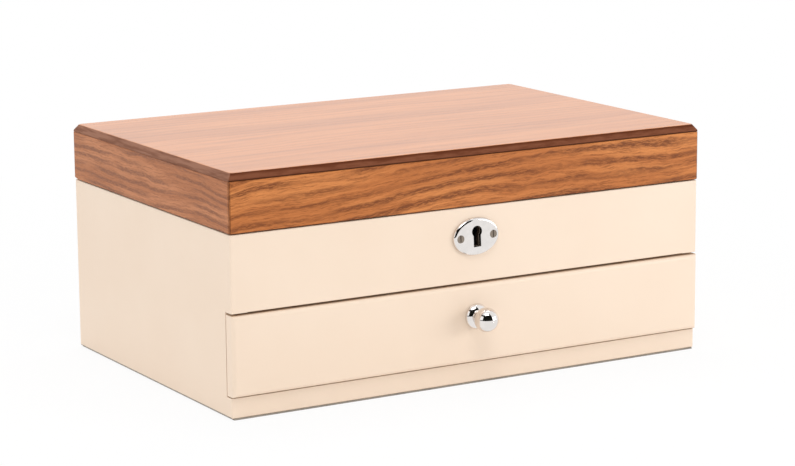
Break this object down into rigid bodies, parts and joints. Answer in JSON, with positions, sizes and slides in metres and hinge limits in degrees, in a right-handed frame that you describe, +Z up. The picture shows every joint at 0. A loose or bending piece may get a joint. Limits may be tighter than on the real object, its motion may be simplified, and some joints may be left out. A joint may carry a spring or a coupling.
{
  "type": "ring box with drawer",
  "caption": "Wooden ring box with a hinged lid, velvet ring rolls and mirror inside, a box lock with an oval escutcheon, and a drawer with a ball knob.",
  "frame": {"origin": "on the supporting surface, under the middle of the body's boards", "axes": "+X to the right along the front, +Y to the back, +Z up; the drawer and the lock face -Y"},
  "size_m": [0.2814, 0.2016, 0.1233],
  "materials": {
    "painted_board": "smooth satin cream paint on board",
    "veneer": "satin oak veneer, dark stained bevel",
    "bare_board": "plain sanded board",
    "chrome": "polished",
    "nickel": "bright nickel plate",
    "steel": "plain steel",
    "velvet": "short-pile velvet",
    "mirror": "silvered glass",
    "felt": "pressed grey felt"
  },
  "bodies": {
    "carcass": {"back_panel": "painted_board", "base_felt": "felt", "base_front_rail": "painted_board", "base_panel": "bare_board", "drawer_runner_left": "bare_board", "drawer_runner_right": "bare_board", "drawer_stop_strip": "bare_board", "escutcheon": "chrome", "escutcheon_screws": "chrome", "front_panel": "painted_board", "hinge_body_screws": "nickel", "hinge_left_body_leaf": "nickel", "hinge_left_pin": "nickel", "hinge_right_body_leaf": "nickel", "hinge_right_pin": "nickel", "left_side_panel": "painted_board", "lock_bolt_guides": "steel", "lock_case": "steel", "lock_key_post": "steel", "lock_plate": "nickel", "lock_screws": "nickel", "lock_spring": "steel", "right_side_panel": "painted_board", "ring_roll_1": "velvet", "ring_roll_2": "velvet", "ring_roll_3": "velvet", "ring_roll_4": "velvet", "ring_roll_5": "velvet", "tray_board": "bare_board", "tray_divider": "velvet", "tray_floor_lining": "velvet", "tray_wall_lining": "velvet"},
    "lid": {"hinge_left_lid_leaf": "nickel", "hinge_lid_screws": "nickel", "hinge_right_lid_leaf": "nickel", "lid_back_rail": "veneer", "lid_front_rail": "veneer", "lid_left_rail": "veneer", "lid_mirror": "mirror", "lid_mirror_frame": "velvet", "lid_right_rail": "veneer", "lid_top_panel": "veneer", "strike_plate": "nickel", "strike_screws": "nickel"},
    "drawer": {"drawer_back": "bare_board", "drawer_bottom": "bare_board", "drawer_divider_long": "velvet", "drawer_divider_short": "velvet", "drawer_floor_lining": "velvet", "drawer_front": "painted_board", "drawer_inner_front": "bare_board", "drawer_left_side": "bare_board", "drawer_right_side": "bare_board", "drawer_wall_lining": "velvet", "knob_ball": "chrome", "knob_rosette": "chrome", "knob_screw": "steel"},
    "lock_bolt_body": {"lock_bolt": "steel"}
  },
  "joints": [
    {"name": "lid_hinge", "type": "hinge", "parent": "carcass", "child": "lid", "pos_m": [0, 0.09045, 0.0927], "axis": [-1, 0, 0], "range_deg": [0, 102]},
    {"name": "drawer_slide", "type": "slide", "parent": "carcass", "child": "drawer", "axis": [0, -1, 0], "range_m": [0, 0.125]},
    {"name": "lock_bolt_slide", "type": "slide", "parent": "carcass", "child": "lock_bolt_body", "axis": [1, 0, 0], "range_m": [0, 0.005]}
  ]
}
